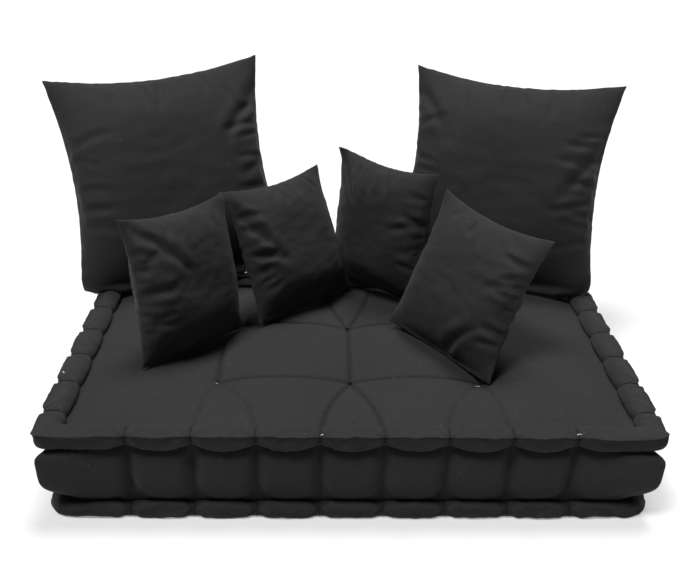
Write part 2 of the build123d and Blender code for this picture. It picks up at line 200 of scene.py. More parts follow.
# Mattress: the sizes that the solids have, in metres. Each fold gives the level that it
# climbs to, its width and its strength, and a sag is how far cloth rises between two tufts
mattress = {
    "halfX": 0.570, "halfY": 0.370, "bottomHalfX": 0.560, "bottomHalfY": 0.360,
    "seamBottom": 0.014, "crown": 0.196,
    "tuftX": (-0.276, 0.0, 0.276), "tuftY": (-0.133, 0.133),
    "tuftDepth": 0.157, "tuftRadius": 0.009,
    "longTies": [-0.425 + 0.85 * k / 7 for k in range(8)],
    "shortTies": [-0.304 + 0.608 * k / 5 for k in range(6)],
    "valley": 0.1702, "rim": 0.024, "cells": (150, 98, 16),
    "cornerTop": 0.010, "cornerBottom": 0.060, "wallBulge": 0.022, "tieDepth": 0.010,
    "lean": 0.006, "halfBlock": 0.050, "tied": 0.004, "wallStep": 0.0099,
    "wallLow": 0.0280, "wallMiddle": 0.088, "wallHigh": 0.150, "cornerBlend": 0.05,
    "foldDepth": 0.0019, "foldWidth": 0.0042, "ridge": 0.0008, "foldShade": 0.95,
    "cornerSwell": 0.012, "skinPressure": 0.000034, "skinRounds": 1500,
    "sag": (0.018, 0.015), "pullWidth": 0.0052, "bow": 0.16, "foldEnd": 0.345,
    "middleFold": (0.176, 0.0046, 1.0), "outerFold": (0.188, 0.003, 0.35),
    "floorGap": 0.0006, "hollowUnder": 0.022,
    "pressure": 4.0, "spare": 0.005, "frames": 22, "tension": 20, "compression": 12,
    "bending": 0.06, "shear": 6, "furthest": 0.03, "shake": 0.00025,
}


def roundedEdge(x, y, halfX, halfY, radius):
    # Moves a point of a rectangle's edge onto the same rectangle with rounded corners
    cx, cy = halfX - radius, halfY - radius
    if abs(x) <= cx or abs(y) <= cy:
        return x, y
    dx, dy = abs(x) - cx, abs(y) - cy
    # An even turn round the corner from the way that each leg runs
    angle = atan2(dy, dx)
    return copysign(cx + radius * cos(angle), x), copysign(cy + radius * sin(angle), y)


def membrane(across, deep):
    # Height of the stuffed top: a skin under even pressure, held down at the tufts and
    # along the pulled lines between them
    m = mattress
    xs = np.linspace(-m["halfX"], m["halfX"], across + 1)
    ys = np.linspace(-m["halfY"], m["halfY"], deep + 1)
    gridX, gridY = np.meshgrid(xs, ys, indexing="ij")
    held = np.full(gridX.shape, np.nan)
    pulled = np.zeros(gridX.shape, dtype=bool)
    folds = []

    def line(a, b, levels, sag, width=m["pullWidth"], weight=1.0):
        folds.append((a, b, weight))
        ax, ay, bx, by = *a, *b
        length = hypot(bx - ax, by - ay)
        t = ((gridX - ax) * (bx - ax) + (gridY - ay) * (by - ay)) / length ** 2
        off = np.abs((gridX - ax) * (by - ay) - (gridY - ay) * (bx - ax)) / length
        on = (t >= 0) & (t <= 1) & (off < width)
        level = levels[0] + (levels[1] - levels[0]) * t
        value = level + np.sin(pi * np.clip(t, 0, 1)) ** 0.7 * sag
        held[on] = np.fmin(held[on], value[on])
        pulled[on] = True

    def curve(stops, low, high, width, weight):
        # A line through several stops that climbs evenly from one level to another
        for k, (a, b) in enumerate(zip(stops, stops[1:])):
            levels = [low + (high - low) * (n / (len(stops) - 1)) ** 0.6 for n in (k, k + 1)]
            line(a, b, levels, 0, width, weight)

    floor = m["tuftDepth"]
    for y in m["tuftY"]:
        for a, b in zip(m["tuftX"], m["tuftX"][1:]):
            line((a, y), (b, y), (floor, floor), m["sag"][0])
    for x in m["tuftX"]:
        line((x, m["tuftY"][0]), (x, m["tuftY"][1]), (floor, floor), m["sag"][1])
        for side in (-1, 1):
            y = side * m["tuftY"][1]
            for tie in sorted(m["longTies"], key=lambda place: abs(place - x))[:2]:
                bow = (tie - x) * m["bow"]
                stops = [(x + (tie - x) * s + bow * sin(pi * s),
                          y + (side * m["foldEnd"] - y) * s) for s in (0, 0.25, 0.5, 0.75, 1)]
                curve(stops, floor, *m["outerFold"] if x else m["middleFold"])
    rim = np.minimum(m["halfX"] - np.abs(gridX), m["halfY"] - np.abs(gridY))
    held = np.where(rim < m["rim"], m["valley"], held)
    gridH = np.full(gridX.shape, m["valley"])
    for _ in range(m["skinRounds"]):
        around = sum(np.roll(gridH, step, axis) for axis in (0, 1) for step in (1, -1))
        gridH = around / 4 + m["skinPressure"]
        gridH = np.where(np.isnan(held), gridH, np.fmin(gridH, held))
    return gridX, gridY, gridH, pulled, folds


def tuftGap(x, y):
    return min(hypot(x - a, y - b) for a in mattress["tuftX"] for b in mattress["tuftY"])


def makeCover():
    # One sheet for the top and the walls, with the points that are sewn or tied down
    m = mattress
    across, deep, rowCount = m["cells"]
    gridX, gridY, gridH, pulled, folds = membrane(across, deep)
    # Low heights stay as they are and high ones bend over towards the crown
    height, most = gridH - m["valley"], m["crown"] - m["valley"]
    gridH = m["valley"] + np.where(height > 0, most * np.tanh(height / most), height)
    points, pinned, flat, rubAndShadeMarks = [], [], [], {}
    for i in range(across + 1):
        for j in range(deep + 1):
            x, y = gridX[i, j], gridY[i, j]
            rim = min(m["halfX"] - abs(x), m["halfY"] - abs(y))
            inside = pulled[i, j] and rim > 0.05
            if rim < m["rim"] or tuftGap(x, y) < m["tuftRadius"] or inside:
                pinned.append(len(points))
            # Painted shade: darker in the groove by the rolled edge and along the pulled lines
            # between tufts
            if rim < m["rim"] + 0.006:
                rubAndShadeMarks[len(points)] = -0.5
            elif pulled[i, j]:
                rubAndShadeMarks[len(points)] = -0.25
            px, py = roundedEdge(x, y, m["halfX"], m["halfY"], m["cornerTop"])
            points.append((px, py, gridH[i, j]))
            flat.append((x, y))
    faces, loops = [], []
    for i in range(across):
        for j in range(deep):
            a = i * (deep + 1) + j
            faces.append([a, a + deep + 1, a + deep + 2, a + 1])
            loops += [flat[k] for k in faces[-1]]
    ring = edgeRing(across, deep)
    rows = [[i * (deep + 1) + j for i, j in ring]]
    for level in range(1, rowCount + 1):
        t = level / rowCount
        z = m["valley"] + (m["seamBottom"] - m["valley"]) * t
        half = [m[a] + (m[b] - m[a]) * share for a, b, share in (
            ("halfX", "bottomHalfX", t), ("halfY", "bottomHalfY", t),
            ("cornerTop", "cornerBottom", t ** 3.5))]
        row = []
        for k in rows[0]:
            x, y = flat[k]
            sx, sy = x / m["halfX"] * half[0], y / m["halfY"] * half[1]
            px, py = roundedEdge(sx, sy, *half)
            onLong = abs(abs(y) - m["halfY"]) < 0.0001
            run, ties = (x, m["longTies"]) if onLong else (y, m["shortTies"])
            slip = m["lean"] * (2 * t - 1) * sin(9 * round(run * 8.2))
            near = min(abs(run + slip - tie) for tie in ties)
            free = m["wallLow"] < z < m["wallHigh"]
            # The foot of each block is rounded off towards its two ties
            foot = max(0, m["wallMiddle"] - z) / (m["wallMiddle"] - m["wallLow"])
            outline = (max(0, 1 - near / m["halfBlock"]) ** 3 + foot ** 3) ** (1 / 3)
            block = 1 - min(1, outline) ** 7.5
            up = (m["wallHigh"] + 0.003 - z) / (m["wallHigh"] - m["wallLow"] + 0.006)
            up = sin(pi * min(1, max(0, up)) ** 1.15) ** 0.4
            swell = (m["wallBulge"] + m["tieDepth"]) * block * up - m["tieDepth"] * up
            # The end blocks are stuffed out as far as the rolled edge, most of all at the top
            ends = smoothStep(0, 0.10, near - m["halfBlock"])
            top = min(1, max(0, m["wallHigh"] - z) / m["cornerTop"]) ** 0.5
            stuffed = (m["wallBulge"] + m["cornerSwell"]) * top * (1 - foot ** 2)
            swell = swell + (stuffed - swell) * ends if free else 0
            # Painted shade where the wall is held down: at the ties, at its top and foot, and
            # round the feet of the blocks
            if near < m["tied"] or not free or outline > 1.03:
                pinned.append(len(points))
                rubAndShadeMarks[len(points)] = -0.9
            # Near a corner the swelling turns from one side to the other
            blend = m["cornerBlend"]
            turnX = smoothStep(0, blend, abs(x) - m["halfX"] + blend) if onLong else 1
            turnY = 1 if onLong else smoothStep(0, blend, abs(y) - m["halfY"] + blend)
            row.append(len(points))
            points.append((
                px + copysign(swell, x) * turnX, py + copysign(swell, y) * turnY, z))
        rows.append(row)
    step = 2 * m["halfX"] / across
    for level in range(rowCount):
        for r in range(len(ring)):
            n = (r + 1) % len(ring)
            upper, lower = rows[level:level + 2]
            faces.append([lower[r], lower[n], upper[n], upper[r]])
            u, high = r * step, -level * m["wallStep"]
            far, low = u + step, high - m["wallStep"]
            loops += [(u, low), (far, low), (far, high), (u, high)]
    return points, faces, loops, pinned, rubAndShadeMarks, folds, rows[-1], ring


def closeUnder(points, faces, loops, ring, lowRow):
    # The underside, flat on the floor but for a hollow at each tuft
    m = mattress
    across, deep, _ = m["cells"]
    place = dict(zip(ring, lowRow))
    for i in range(1, across):
        for j in range(1, deep):
            x = m["bottomHalfX"] * (2 * i / across - 1)
            y = m["bottomHalfY"] * (2 * j / deep - 1)
            rim = min(m["bottomHalfX"] - abs(x), m["bottomHalfY"] - abs(y))
            px, py = roundedEdge(
                x, y, m["bottomHalfX"], m["bottomHalfY"], m["cornerBottom"])
            z = m["seamBottom"] * (1 - smoothStep(0.030, 0.07, rim))
            z = max(z, m["hollowUnder"] * (1 - smoothStep(0.006, 0.055, tuftGap(x, y))))
            place[(i, j)] = len(points)
            points.append((px, py, float(z) + m["floorGap"]))
    for i in range(across):
        for j in range(deep):
            faces.append([place[k] for k in ((i, j), (i, j + 1), (i + 1, j + 1), (i + 1, j))])
            loops += [points[k][:2] for k in faces[-1]]


def pressFolds(cover, folds):
    # Narrow folds in the top along the lines where the cloth is pulled, with a lip beside them,
    # and painted shade in each fold
    m = mattress
    found = coords(cover)
    x, y, z = found.T
    near = np.ones(len(found))
    strength = np.zeros(len(found))
    for (ax, ay), (bx, by), weight in folds:
        t = ((x - ax) * (bx - ax) + (y - ay) * (by - ay)) / ((bx - ax) ** 2 + (by - ay) ** 2)
        t = np.clip(t, 0, 1)
        off = np.hypot(x - ax - t * (bx - ax), y - ay - t * (by - ay))
        strength = np.where(off < near, weight, strength)
        near = np.minimum(near, off)
    rim = np.minimum(m["halfX"] - np.abs(x), m["halfY"] - np.abs(y))
    strength *= smoothStep(m["rim"], m["rim"] + 0.02, rim) * (z > m["tuftDepth"] - 0.02)
    dip = np.exp(-(near / m["foldWidth"]) ** 2) * strength
    lip = np.exp(-((near - 2.2 * m["foldWidth"]) / m["foldWidth"]) ** 2) * strength
    found[:, 2] += m["ridge"] * lip - m["foldDepth"] * dip
    setCoords(cover, found)
    # Painted shade: the edge value goes darker in each fold
    layer = cover.data.attributes["edge"].data
    values = readAll(layer, "value", 1)[:, 0] - m["foldShade"] * dip
    layer.foreach_set("value", values.astype(np.float32))


def makeMattress():
    points, faces, loops, pinned, rubAndShadeMarks, folds, lowRow, ring = makeCover()
    sheet = meshObject("coverSheet", points, faces)
    simulate(sheet, pinned, mattress, 5)
    points = [tuple(p) for p in coords(sheet)]
    bpy.data.objects.remove(sheet)
    closeUnder(points, faces, loops, ring, lowRow)
    cover = meshObject("mattressCover", points, faces, loops)
    # Paints shade into the cover's grooves, pulled lines and ties
    paintRubAndShade(cover, [rubAndShadeMarks.get(k, 0) for k in range(len(points))])
    subdivide(cover)
    pressFolds(cover, folds)
    return cover


print("mattress cover")
mattressCover = makeMattress()
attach(mattressCover, "mattress")
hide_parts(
    "mattress_top_panel", "mattress_bottom_panel", "mattress_border",
    "mattress_filling")


# Rolled edges: a stuffed tube round the mattress, pinched by a turn of twine at each tie.
# Each section runs anticlockwise, outward and upward from the middle of the roll, in tenths
# of a millimetre
rolls = {
    "outer": {"top": (0.599, 0.399), "bottom": (0.590, 0.390)},
    "height": {"top": 0.175, "bottom": 0.0132}, "floor": 0.0004, "width": 0.052, "step": 0.0058,
    "girthStep": 0.0048, "pinch": 0.0038, "lowPinch": 0.0110, "pinchWidth": 0.009,
    "lowWidth": 0.024, "fullness": 0.0040, "fullReach": 0.055, "foldDepth": 0.0072,
    "foldSlope": 0.70, "foldReach": 0.024, "foldWidth": 0.0034, "foldShade": 1.25,
    "tied": 0.0035, "beyond": 0.02, "cornerStart": 0.012, "pressure": 3.0, "spare": 0.015,
    "frames": 14, "tension": 20, "compression": 10, "bending": 0.05, "shear": 6,
    "furthest": 0.006, "shake": 0.0003,
}
topSection = [(a / 10000, b / 10000) for a, b in (
    (262, 60), (266, 100), (273, 130), (280, 143), (274, 153), (256, 156), (220, 163),
    (170, 176), (110, 190), (50, 198), (-10, 196), (-80, 185), (-150, 158), (-205, 115),
    (-240, 60), (-250, 0), (-225, -36), (-160, -38), (-95, -38), (-36, -42), (-36, -100),
    (-34, -160), (10, -205), (65, -228), (125, -232), (180, -212), (220, -172), (244, -120),
    (256, -60), (260, 0))]
bottomSection = [(a / 10000, b / 10000) for a, b in (
    (228, 50), (200, 96), (150, 128), (90, 140), (30, 138), (-20, 120), (-24, 70), (-24, 10),
    (-24, -18), (-90, -22), (-160, -26), (-215, -50), (-215, -95), (-160, -120), (-90, -126),
    (-10, -126), (70, -126), (140, -126), (200, -125), (236, -120), (256, -110), (264, -98),
    (262, -86), (254, -66), (250, -35), (244, 5))]


def rollStations(halfX, halfY):
    # Points along a rectangle, about one step apart, with 1 for those on its short sides
    stations = []
    corners = [(-halfX, -halfY), (halfX, -halfY), (halfX, halfY), (-halfX, halfY)]
    for k in range(4):
        (ax, ay), (bx, by) = corners[k], corners[(k + 1) % 4]
        count = round(hypot(bx - ax, by - ay) / rolls["step"])
        for i in range(count):
            t = i / count
            stations.append((ax + (bx - ax) * t, ay + (by - ay) * t, k % 2))
    return stations


rollCounts = {}


def makeRoll(name, edge, section, corners, seed):
    # corners are the roundings of the roll's inner and outer side at a corner
    r, m = rolls, mattress
    halfX, halfY = (outer - r["width"] / 2 for outer in r["outer"][edge])
    z, top = r["height"][edge], edge == "top"
    points, pinned, rubAndShadeMarks = [], [], []
    stations = rollStations(halfX, halfY)
    around = len(section)
    ring = np.array(section)
    girth = np.linalg.norm(ring - np.roll(ring, 1, axis=0), axis=1)
    way = np.cumsum(girth) - girth[0]
    way = np.where(way > way[-1] / 2, way - girth.sum(), way)
    tip = max(range(around), key=lambda k: section[k][0])
    for x, y, short in stations:
        run, ties, half = (y, m["shortTies"], halfY) if short else (x, m["longTies"], halfX)
        ds = min((run - tie for tie in ties), key=abs)
        spread = smoothStep(ties[-1] + r["cornerStart"], half, abs(run))
        beyond = abs(run) > ties[-1] + r["beyond"]
        for k, ((o, up), face) in enumerate(zip(section, way)):
            size = hypot(o, up)
            pinch = r["pinch"] * exp(-(ds / r["pinchWidth"]) ** 2)
            if top:
                low = r["lowPinch"] * max(0, -up / size) * (o > 0.002)
                pinch += low * exp(-abs(ds / r["lowWidth"]) ** 1.3)
            full = 0 if beyond else r["fullness"] * (min(1, abs(ds) / r["fullReach"]) - 0.5)
            fold = exp(-((abs(ds) - r["foldSlope"] * abs(face)) / r["foldWidth"]) ** 2)
            fold *= exp(-abs(ds) / r["foldReach"])
            # Rubbed paler along the lip, and painted shade under the lip, in the folds and at the
            # ties
            under = exp(-((k - tip + 2) / 0.8) ** 2) * top
            tied = exp(-(ds / r["tied"]) ** 2)
            rubAndShadeMarks.append(
                exp(-((k - tip) / 0.8) ** 2)
                - max(under, 0.9 * fold, 0.7 * tied) * r["foldShade"])
            fold *= r["foldDepth"]
            inner = o < -0.0018 and (up < -0.003) == top
            grow = 1 if inner else 1 + (full - pinch - fold) / size
            held = inner or o < -0.008 or abs(ds) < r["tied"]
            o, up = o * grow, up * grow
            sx = x + copysign(1, x) * (o if short else o * spread)
            sy = y + copysign(1, y) * (o * spread if short else o)
            share = (o + r["width"] / 2) / r["width"]
            corner = corners[0] + (corners[1] - corners[0]) * share
            px, py = roundedEdge(sx, sy, halfX + o, halfY + o, corner)
            if held:
                pinned.append(len(points))
            points.append((px, py, z + up))
    faces, loops = [], []
    total = len(stations)
    rollCounts[name] = total
    for i in range(total):
        n = (i + 1) % total
        for k in range(around):
            q = (k + 1) % around
            faces.append([i * around + k, i * around + q, n * around + q, n * around + k])
            u, v = i * r["step"], k * r["girthStep"]
            far, high = u + r["step"], v + r["girthStep"]
            loops += [(u, v), (u, high), (far, high), (far, v)]
    roll = meshObject(name, points, faces, loops)
    paintRubAndShade(roll, rubAndShadeMarks)
    simulate(roll, pinned, r, seed)
    subdivide(roll)
    found = coords(roll)
    found[:, 2] = np.maximum(found[:, 2], r["floor"])
    setCoords(roll, found)
    return roll


print("rolled edges")
topRolledEdge = makeRoll("topRolledEdge", "top", topSection, (0.004, 0.022), 3)
bottomRolledEdge = makeRoll("bottomRolledEdge", "bottom", bottomSection, (0.050, 0.066), 4)
for roll, node in (
        (topRolledEdge, "mattress_top_roll"), (bottomRolledEdge, "mattress_bottom_roll")):
    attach(roll, "mattress")
    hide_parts(node)


# Ties: a turn of twine over the rolled edge at each pinch
ties = {
    "radius": 0.0008, "sides": 8, "steps": 22, "sink": 0.0002, "inward": 0.026, "reach": 0.06,
    "turn": {"top": (-60, 128), "bottom": (-28, 75)},
}


def tube(points, radius, sides, closed=False):
    # Corners and faces of a round cord along a line of points, capped at both ends
    line = [Vector(p) for p in points]
    side = None
    corners, faces = [], []
    for k, p in enumerate(line):
        before = line[k - 1] if k or closed else line[0]
        after = line[(k + 1) % len(line)] if k + 1 < len(line) or closed else line[-1]
        ahead = (after - before).normalized()
        if side is None:
            side = ahead.orthogonal().normalized()
        side = (side - ahead * side.dot(ahead)).normalized()
        other = ahead.cross(side)
        for n in range(sides):
            a = 2 * pi * n / sides
            corners.append(p + (side * cos(a) + other * sin(a)) * radius)
    last = len(line) if closed else len(line) - 1
    for k in range(last):
        low, high = k * sides, ((k + 1) % len(line)) * sides
        for n in range(sides):
            q = (n + 1) % sides
            faces.append([low + n, low + q, high + q, high + n])
    if not closed:
        faces.append(list(range(sides))[::-1])
        faces.append([(len(line) - 1) * sides + n for n in range(sides)])
    return corners, faces


def joined(name, parts):
    # One mesh of many cords, with cloth coordinates that follow their places
    points, faces = [], []
    for corners, quads in parts:
        base = len(points)
        points += [tuple(p) for p in corners]
        faces += [[base + k for k in quad] for quad in quads]
    loops = [(points[k][0] + points[k][1], points[k][2]) for face in faces for k in face]
    return meshObject(name, points, faces, loops)


def surface(piece):
    return BVHTree.FromPolygons(
        [tuple(p) for p in coords(piece)], [tuple(f.vertices) for f in piece.data.polygons])


def heightAt(trees, x, y, nothing):
    # Height of the highest cloth at a place
    hits = [tree.ray_cast(Vector((x, y, 1)), Vector((0, 0, -1)), 2)[0] for tree in trees]
    return max((hit.z for hit in hits if hit is not None), default=nothing)


def makeEdgeTies():
    t, parts = ties, []
    for roll, edge in ((topRolledEdge, "top"), (bottomRolledEdge, "bottom")):
        tree = surface(roll)
        low, high = t["turn"][edge]
        outerX, outerY = rolls["outer"][edge]
        for places, across, short in (
                (mattress["longTies"], outerY - t["inward"], False),
                (mattress["shortTies"], outerX - t["inward"], True)):
            for place, sign in ((p, s) for p in places for s in (-1, 1)):
                line = []
                for k in range(t["steps"]):
                    a = radians(low + (high - low) * k / (t["steps"] - 1))
                    out, middle = cos(a) * sign, across * sign
                    out = Vector((out, 0, sin(a)) if short else (0, out, sin(a)))
                    middle = (middle, place) if short else (place, middle)
                    middle = Vector((*middle, rolls["height"][edge]))
                    hit = tree.ray_cast(middle + out * t["reach"], -out, t["reach"])[0]
                    if hit is not None:
                        line.append(hit + out * (t["radius"] - t["sink"]))
                parts.append(tube(line, t["radius"], t["sides"]))
    return joined("edgeTies", parts)


print("ties and knots")
edgeTies = makeEdgeTies()
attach(edgeTies, "mattress")
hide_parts("top_edge_ties", "bottom_edge_ties")

# Tufts: a doubled twine knotted in each hollow, at the top and under the mattress
knots = {"radius": 0.0013, "sides": 8, "loop": 0.0036, "steps": 30, "lift": 0.0012}


def makeTuftKnots():
    tree, parts, rng = surface(mattressCover), [], random.Random(7)
    for x in mattress["tuftX"]:
        for y in mattress["tuftY"]:
            for up in (1, -1):
                start = Vector((x, y, 0.3 if up > 0 else -0.1))
                hit = tree.ray_cast(start, Vector((0, 0, -up)), 1)[0]
                base = hit + Vector((0, 0, up * (knots["lift"] + knots["radius"])))
                turn = rng.uniform(0, pi)
                line = []
                for k in range(knots["steps"]):
                    t = 2 * pi * k / knots["steps"]
                    px = sin(t) + 0.9 * sin(2 * t)
                    py = cos(t) - 0.9 * cos(2 * t)
                    pz = up * 0.675 * (1 - sin(3 * t))
                    qx = px * cos(turn) - py * sin(turn)
                    qy = px * sin(turn) + py * cos(turn)
                    line.append(base + Vector((qx, qy, pz)) * knots["loop"] * 0.5)
                parts.append(tube(line, knots["radius"], knots["sides"], closed=True))
    return joined("tuftKnots", parts)


tuftKnots = makeTuftKnots()
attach(tuftKnots, "mattress")
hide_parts("tuft_twines")


# Cushions, in two sizes: low is how much fuller they are below, sit how far the lower seam
# draws in. Each has its turn in degrees, as the solids have it. A crease runs between two
# points of the front face, from -1 to 1 across and up, with its depth and width in metres.
# A row of puckers has its axis, edge, both ends and count, an ear its corner, reach, angle
largeCushion = {
    "cells": 64, "thickness": 0.170, "low": 0.10, "sit": -0.016, "volume": 0.0215,
    "grow": 1.0, "shift": (0.0, 0.0, 0.0)}
smallCushion = {
    "cells": 56, "thickness": 0.108, "low": 0.15, "sit": 0.010, "volume": 0.0048,
    "grow": 1.0, "shift": (0.0, 0.0, 0.0)}
cushions = {
    "left_back_cushion": {
        **largeCushion, "seed": 11, "turn": (16.0, -4.5, 24.0), "shift": (-0.009, 0.0, 0.0),
        "creases": (((0.97, 0.78), (0.50, 0.15), 0.011, 0.011),
                    ((0.95, 0.10), (0.62, -0.15), 0.006, 0.009)),
        "puckers": ((0, -0.88, -0.55, 0.40, 8), (0, 0.88, -0.3, 0.6, 6), (2, 0.90, -0.4, 0.6, 6)),
        "ears": (((-1, -1), 0.13, 85), ((1, -1), 0.08, 40), ((-1, 1), 0.10, 14))},
    "right_back_cushion": {
        **largeCushion, "seed": 12, "turn": (-20.0, 1.0, 22.0), "grow": 0.985,
        "creases": (((0.92, 0.45), (0.55, -0.20), 0.009, 0.010),
                    ((-0.95, 0.80), (-0.55, 0.35), 0.007, 0.010)),
        "puckers": ((0, 0.88, -0.55, 0.55, 9), (0, -0.88, -0.2, 0.5, 5), (2, 0.90, -0.5, 0.5, 6)),
        "ears": (((1, -1), 0.12, 100), ((-1, -1), 0.12, 80), ((1, 1), 0.09, 12))},
    "inner_right_cushion": {
        **smallCushion, "seed": 13, "turn": (-48.0, 0.0, 5.0), "grow": 1.03,
        "shift": (0.0, 0.0, 0.006),
        "creases": (((-0.88, 0.85), (-0.25, 0.30), 0.008, 0.008),
                    ((0.92, 0.25), (0.35, 0.05), 0.006, 0.007)),
        "puckers": ((0, 0.88, -0.55, 0.6, 7), (2, 0.88, -0.5, 0.5, 4)),
        "ears": (((-1, 1), 0.13, -35), ((1, 1), 0.08, 20))},
    "inner_left_cushion": {
        **smallCushion, "seed": 14, "turn": (47.0, 0.0, 22.0),
        "creases": (((-0.92, 0.80), (-0.45, -0.15), 0.009, 0.008),
                    ((-0.94, 0.05), (-0.35, -0.20), 0.007, 0.007)),
        "puckers": ((0, -0.88, -0.65, 0.6, 9), (2, 0.88, -0.3, 0.6, 5)),
        "ears": (((-1, 1), 0.12, 30), ((1, 1), 0.08, 15))},
    "outer_left_cushion": {
        **smallCushion, "seed": 15, "turn": (52.0, 3.0, 12.0),
        "creases": (((-0.93, 0.93), (-0.10, 0.10), 0.008, 0.009),
                    ((-0.94, -0.10), (-0.40, 0.00), 0.006, 0.007)),
        "puckers": ((0, -0.88, -0.65, 0.6, 9), (2, 0.88, -0.5, 0.5, 4)),
        "ears": (((1, 1), 0.10, 60), ((-1, 1), 0.07, 15))},
    "outer_right_cushion": {
        **smallCushion, "seed": 16, "turn": (-53.0, 5.0, 24.0), "grow": 1.04,
        "shift": (0.004, 0.0, 0.006),
        "creases": (((0.20, -0.88), (0.60, -0.35), 0.011, 0.008),
                    ((0.94, 0.30), (0.45, 0.10), 0.007, 0.007)),
        "puckers": ((0, 0.88, -0.6, 0.65, 8), (2, 0.88, -0.5, 0.5, 4)),
        "ears": (((-1, 1), 0.08, 15), ((1, 1), 0.07, 10))},
}
stuffing = {
    "pressure": 0.0, "factor": 2.2, "spare": 0, "frames": 20, "tension": 12, "compression": 4,
    "bending": 0.04, "shear": 3, "furthest": 0.2, "flat": 0.35, "rough": 0.0006, "draw": 0.064,
    "crumple": 0.0016, "lip": 0.013, "edge": 0.92, "blend": 0.07, "clear": 0.0018,
    "sink": 0.006, "mostSink": 0.009, "highest": 0.32,
}


def cushionPose(name):
    # The turn of the cushion and, in its own directions, the corners of its solids
    yaw, tilt, lean = (radians(a) for a in cushions[name]["turn"])
    turn = np.array(
        Matrix.Rotation(yaw, 3, "Z") @ Matrix.Rotation(tilt, 3, "Y")
        @ Matrix.Rotation(-lean, 3, "X"))
    found = np.concatenate([
        coords(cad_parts[f"{name}_{part}_panel"]) @ turn for part in ("front", "back")])
    return turn, found.min(0), found.max(0)


def pillow(name, side):
    # Two square sheets sewn all round, lightly domed, x across and z up from the middle
    c, s = cushions[name], stuffing
    n = c["cells"]
    points, faces, loops, index = [], [], [], {}
    for face in (1, -1):
        for i in range(n + 1):
            for j in range(n + 1):
                edge = i in (0, n) or j in (0, n)
                if edge and face < 0:
                    continue
                u, v = 2 * i / n - 1, 2 * j / n - 1
                full = ((1 - abs(u) ** 2.4) * (1 - abs(v) ** 2.4)) ** 0.55
                draw = s["draw"] * side
                x = u * (side / 2 - draw * (1 - v * v) * 0.9)
                z = v * (side / 2 - draw * (1 - u * u) * 0.9)
                index[(face, i, j)] = len(points)
                if edge:
                    index[(-face, i, j)] = len(points)
                points.append((x, -face * full * c["thickness"] / 2, z))
        for i in range(n):
            for j in range(n):
                pairs = [(i, j), (i + 1, j), (i + 1, j + 1), (i, j + 1)][::face]
                faces.append([index[(face, a, b)] for a, b in pairs])
                loops += [(a * side / n, b * side / n + (face < 0) * side) for a, b in pairs]
    jitter = np.random.default_rng(c["seed"]).normal(0, s["rough"], (len(points), 3))
    return np.array(points) + jitter, faces, loops, index


def fullerSides(points, index, n, side, sit):
    # Lets each side of the seam draw in only as far as its share, row by row
    half = side / 2
    ring = np.array([index[(1, i, j)] for i, j in edgeRing(n, n)])
    for axis, other in ((0, 2), (2, 0)):
        seam = points[ring]
        for sign in (-1, 1):
            part = seam[seam[:, axis] * sign > 0]
            part = part[np.abs(part[:, axis]) >= np.abs(part[:, other]) * 0.92]
            part = part[np.argsort(part[:, other])]
            reach = np.interp(points[:, other], part[:, other], np.abs(part[:, axis]))
            share = np.clip(np.abs(points[:, other]) / half, 0, 1)
            draw = stuffing["draw"] if (axis, sign) != (2, -1) else sit
            wanted = half - draw * side * (1 - share ** 2)
            on = points[:, axis] * sign > 0
            grow = np.where(on, np.maximum(1, wanted / np.maximum(reach, 0.01)), 1)
            grow = 1 + (grow - 1) * (1 - smoothStep(0.84, 0.96, share))
            inner = smoothStep(0.2, 0.9, np.abs(points[:, axis]) / np.maximum(reach, 0.01))
            points[:, axis] *= 1 + (grow - 1) * inner


def thinSides(points, side, thickness):
    # Brings the filling down towards the seam, to the thickness that the solids have there
    s = stuffing
    u, v = np.clip(np.abs(points[:, [0, 2]]).T / (side / 2 * s["edge"]), 0, 1)
    crown = ((1 - u ** 2.6) * (1 - v ** 2.6)) ** 0.85
    room = thickness * 0.54 * crown + s["lip"] * side
    have = np.abs(points[:, 1])
    blend = s["blend"] * thickness
    near = np.maximum(blend - np.abs(have - room), 0) / blend
    least = np.minimum(have, room) - near ** 2 * blend / 4
    points[:, 1] = np.sign(points[:, 1]) * np.maximum(least, np.minimum(have, 0.001))


def bendEar(points, corner, reach, angle):
    # Curls the ear at a corner towards the back, or to the front where the angle is negative
    e = np.array([corner[0], 0, corner[1]]) / sqrt(2)
    tip = (points @ e).max()
    past = points @ e - (tip - reach)
    on = past > 0
    turn = radians(abs(angle))
    radius = reach / turn
    swing = past[on] / radius
    points[on] += e * (np.sin(swing) * radius - past[on])[:, None]
    points[on, 1] += copysign(1, angle) * radius * (1 - np.cos(swing))


def crease(points, face, start, end, depth, width, side, seed):
    # A fold between two points of a face, from -1 to 1 across and up, deepest in between
    half = side / 2
    a, b = np.array(start) * half, np.array(end) * half
    flat = points[:, [0, 2]]
    wander = softNoise(np.c_[flat, np.full(len(flat), seed)], side * 0.12, seed) * width
    along = (flat - a) @ (b - a) / ((b - a) @ (b - a))
    across = (flat[:, 0] - a[0]) * (b - a)[1] - (flat[:, 1] - a[1]) * (b - a)[0]
    across = across / np.linalg.norm(b - a) + wander
    taper = np.sin(pi * np.clip(along * 0.92 + 0.08, 0, 1)) ** 0.7
    taper *= smoothStep(-0.05, 0.05, along) * (1 - smoothStep(0.9, 1.05, along))
    lip = np.exp(-((np.abs(across) - 2.3 * width) / (1.3 * width)) ** 2)
    dip = np.exp(-(across / width) ** 2) - 0.45 * lip
    on = points[:, 1] * face < 0
    room = np.clip(np.abs(points[:, 1]) / 0.012, 0, 1)
    points[:, 1] += np.where(on, face * depth * dip * taper * room, 0)


